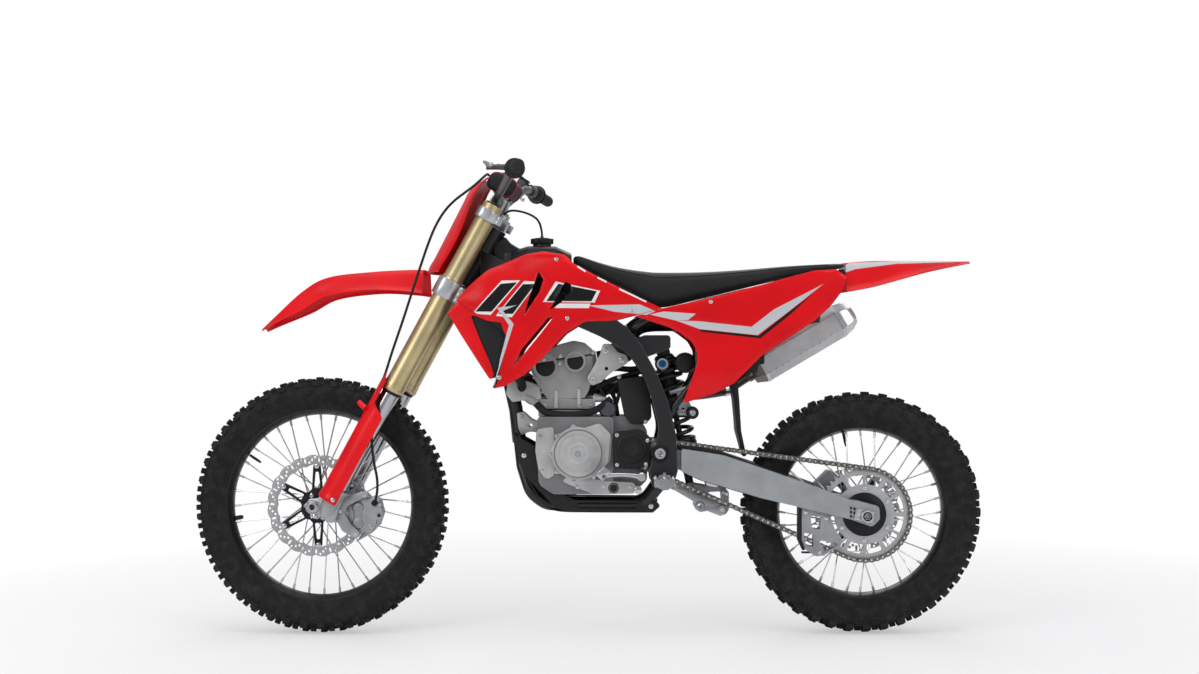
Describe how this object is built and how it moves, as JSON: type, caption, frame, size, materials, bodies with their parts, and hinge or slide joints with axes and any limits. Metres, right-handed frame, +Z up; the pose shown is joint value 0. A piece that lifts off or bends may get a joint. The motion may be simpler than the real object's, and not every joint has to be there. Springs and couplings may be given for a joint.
{
  "type": "off-road racing motorcycle",
  "caption": "Off-road racing motorcycle with long-travel fork, knobbly tyres on spoked wheels, beam frame, tall seat, chain drive, steering head and free-rolling wheels.",
  "frame": {"origin": "top of the seat where the rider sits, on the machine's middle plane", "axes": "+X to the rear, +Y to the rider's right, +Z up"},
  "size_m": [2.1512, 0.8143, 1.2783],
  "materials": {
    "tyre": "knobbly rubber",
    "black_rim": "satin black",
    "bright_steel": "bright",
    "sprocket": "machined",
    "chain": "plated",
    "frame_aluminium": "satin",
    "engine": "cast",
    "dark_metal": "satin black",
    "fork_tube": "gold anodised",
    "silencer": "satin",
    "radiator": "fins",
    "black_plastic": "moulded",
    "colour_plastic": "moulded",
    "seat_cover": "grained",
    "rubber": "matt",
    "spring": "coated",
    "shock": "satin"
  },
  "bodies": {
    "chassis": {"main_frame": "dark_metal", "pivot_shaft": "bright_steel", "subframe": "dark_metal", "crankcase": "engine", "cylinder": "engine", "cylinder_head": "engine", "front_sprocket": "sprocket", "sprocket_cover": "engine", "engine_mounts": "dark_metal", "header_pipe": "bright_steel", "silencer": "silencer", "intake": "black_plastic", "airbox": "black_plastic", "radiators": "radiator", "radiator_louvres": "black_plastic", "shroud_left": "colour_plastic", "shroud_right": "colour_plastic", "side_panels": "colour_plastic", "fuel_tank": "black_plastic", "tank_cap": "black_plastic", "vent_hose": "rubber", "seat": "seat_cover", "rear_fender": "colour_plastic", "skid_plate": "black_plastic", "swingarm": "frame_aluminium", "shock_absorber": "shock", "shock_spring": "spring", "rear_linkage": "dark_metal", "chain": "chain", "chain_guide": "frame_aluminium", "rear_caliper": "dark_metal", "foot_controls": "dark_metal", "rear_axle": "bright_steel"},
    "steering": {"triple_clamps": "frame_aluminium", "fork_tubes": "fork_tube", "fork_legs": "frame_aluminium", "fork_guards": "colour_plastic", "handlebar": "dark_metal", "bar_pad": "black_plastic", "grips": "rubber", "hand_controls": "dark_metal", "front_caliper": "frame_aluminium", "brake_hose": "rubber", "front_fender": "colour_plastic", "number_plate": "colour_plastic", "front_axle": "bright_steel"},
    "front_wheel": {"front_tyre": "tyre", "front_rim": "black_rim", "front_hub": "bright_steel", "front_disc": "bright_steel"},
    "rear_wheel": {"rear_tyre": "tyre", "rear_rim": "black_rim", "rear_hub": "bright_steel", "rear_sprocket": "sprocket", "rear_disc": "bright_steel"}
  },
  "joints": [
    {"name": "steer", "type": "hinge", "parent": "chassis", "child": "steering", "pos_m": [-0.5473, 0, 0.04138], "axis": [0.4772, 0, 0.8788], "range_deg": [-41, 49]},
    {"name": "front_spin", "type": "hinge", "parent": "steering", "child": "front_wheel", "pos_m": [-0.97988, 0.00405, -0.63407], "axis": [0.0613, 0.9976, -0.0333], "continuous": true},
    {"name": "rear_spin", "type": "hinge", "parent": "chassis", "child": "rear_wheel", "pos_m": [0.493, 0, -0.654], "axis": [0, 1, 0], "continuous": true}
  ]
}
